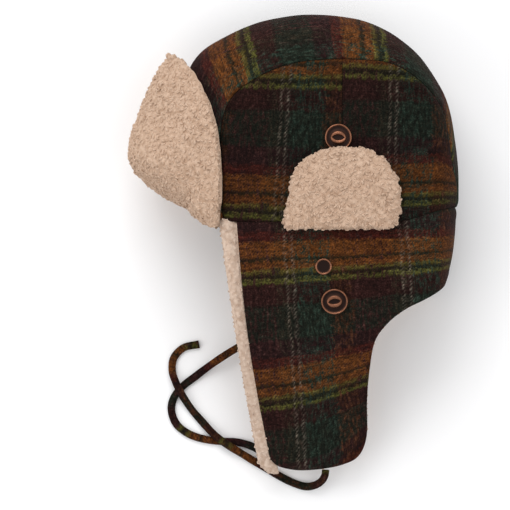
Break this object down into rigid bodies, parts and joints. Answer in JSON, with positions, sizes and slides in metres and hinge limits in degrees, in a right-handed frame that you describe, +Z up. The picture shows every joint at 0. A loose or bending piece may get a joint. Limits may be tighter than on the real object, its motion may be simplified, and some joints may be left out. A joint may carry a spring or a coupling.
{
  "type": "bomber hat",
  "caption": "Winter bomber hat of brushed plaid wool with a sherpa lining, long ear flaps with ties, a turned-up peak, folded ear covers and copper snaps, lying on its side.",
  "frame": {"origin": "the middle of the rim, on the surface under the hat, on the flat underside of the right ear cover", "axes": "+X to the back of the hat, +Y to the top of its crown, +Z up from the surface that it lies on, which is to the wearer's left"},
  "size_m": [0.2803, 0.4013, 0.1202],
  "materials": {
    "wool_plaid": "brushed wool twill in a dark green, burgundy and orange plaid",
    "sherpa": "curly sherpa pile, cream to beige",
    "copper": "antique copper, polished on the rims and dark in the grooves",
    "tie_cloth": "folded strips of the plaid wool"
  },
  "bodies": {
    "root": {"crown_gusset": "wool_plaid", "crown_side_left_front": "wool_plaid", "crown_side_left_back": "wool_plaid", "crown_side_right_front": "wool_plaid", "crown_side_right_back": "wool_plaid", "ear_flap_left": "wool_plaid", "ear_flap_right": "wool_plaid", "peak_cloth": "wool_plaid", "ear_cover_left_cloth": "wool_plaid", "ear_cover_right_cloth": "wool_plaid", "crown_lining_gusset": "sherpa", "crown_lining_left": "sherpa", "crown_lining_right": "sherpa", "ear_flap_lining_left": "sherpa", "ear_flap_lining_right": "sherpa", "peak_pile": "sherpa", "ear_cover_left_pile": "sherpa", "ear_cover_right_pile": "sherpa", "snap_crown_left": "copper", "snap_flap_left": "copper", "ring_stud_left": "copper", "tie_left": "tie_cloth", "tie_right": "tie_cloth"}
  },
  "joints": []
}
